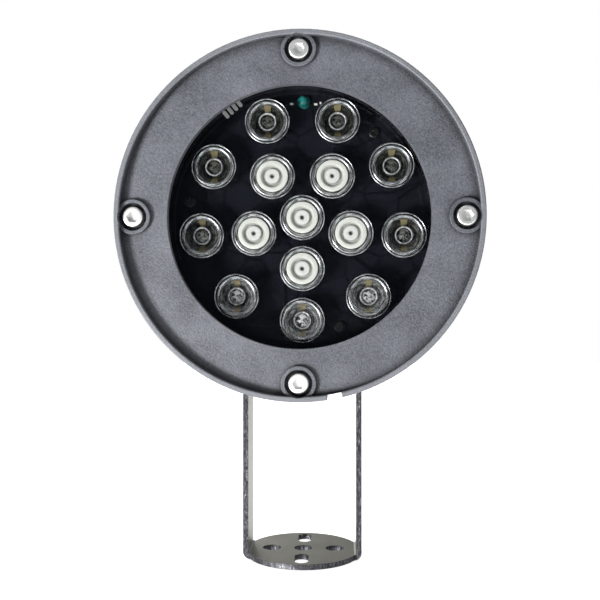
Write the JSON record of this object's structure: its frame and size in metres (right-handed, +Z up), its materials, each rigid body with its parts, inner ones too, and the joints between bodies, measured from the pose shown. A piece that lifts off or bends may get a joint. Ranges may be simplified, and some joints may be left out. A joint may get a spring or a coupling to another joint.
{
  "type": "underwater pond light",
  "caption": "Round grey underwater spotlight with clear and white lenses behind glass, held on a tall stainless steel U-bracket with a round drilled foot.",
  "frame": {"origin": "centre of the foot's central hole, at the underside of the foot", "axes": "+Z up along the bracket, -Y the way the lamp shines, +X to the right seen from the front"},
  "size_m": [0.1766, 0.1185, 0.263],
  "materials": {
    "stainless_plate": "satin mill finish, rough cut edges",
    "grey_coat": "dark grey textured powder coat",
    "stainless_fastener": "bright",
    "clear_glass": "clear toughened glass",
    "black_rubber": "matt",
    "black_board": "glossy black solder mask",
    "grey_pad": "soft matt",
    "black_screw": "black oxide",
    "clear_lens": "clear polished acrylic",
    "white_plastic": "moulded",
    "led_silicone": "clear silicone over phosphor",
    "gold_lead": "gold-plated",
    "teal_sensor": "tinted resin",
    "pale_chip": "matt with tinned ends",
    "solder": "bright tin",
    "white_lead": "insulated wire",
    "green_board": "solder mask",
    "capacitor_sleeve": "sleeve",
    "ferrite": "matt",
    "black_plastic": "moulded nylon",
    "terminal_green": "moulded",
    "nylon_washer": "natural nylon"
  },
  "bodies": {
    "bracket": {"bracket": "stainless_plate"},
    "lamp_head": {"housing": "grey_coat", "bezel_ring": "grey_coat", "rear_cover": "grey_coat", "bezel_screws": "stainless_fastener", "bezel_washers": "stainless_fastener", "rear_cover_screws": "stainless_fastener", "pivot_bolts": "stainless_fastener", "pivot_flat_washers": "stainless_fastener", "pivot_lock_washers": "stainless_fastener", "driver_screws": "stainless_fastener", "front_glass": "clear_glass", "front_gasket": "black_rubber", "rear_gasket": "black_rubber", "rear_cover_gasket": "black_rubber", "gland_washer": "black_rubber", "gland_seal": "black_rubber", "led_board": "black_board", "thermal_pad": "grey_pad", "board_screws": "black_screw", "outer_lenses": "clear_lens", "inner_lenses": "clear_lens", "inner_lens_holders": "white_plastic", "led_bodies": "white_plastic", "led_domes": "led_silicone", "led_leads": "gold_lead", "light_sensor": "teal_sensor", "sensor_chips": "pale_chip", "solder_pads": "solder", "driver_leads": "white_lead", "driver_board": "green_board", "driver_capacitors": "capacitor_sleeve", "driver_inductor": "ferrite", "driver_chips": "black_plastic", "gland_body": "black_plastic", "gland_lock_nut": "black_plastic", "gland_cap": "black_plastic", "input_terminal": "terminal_green", "pivot_friction_washers": "nylon_washer"}
  },
  "joints": [
    {"name": "head_tilt", "type": "hinge", "parent": "bracket", "child": "lamp_head", "pos_m": [0, 0, 0.1747], "axis": [-1, 0, 0], "range_deg": [-5, 185]}
  ]
}
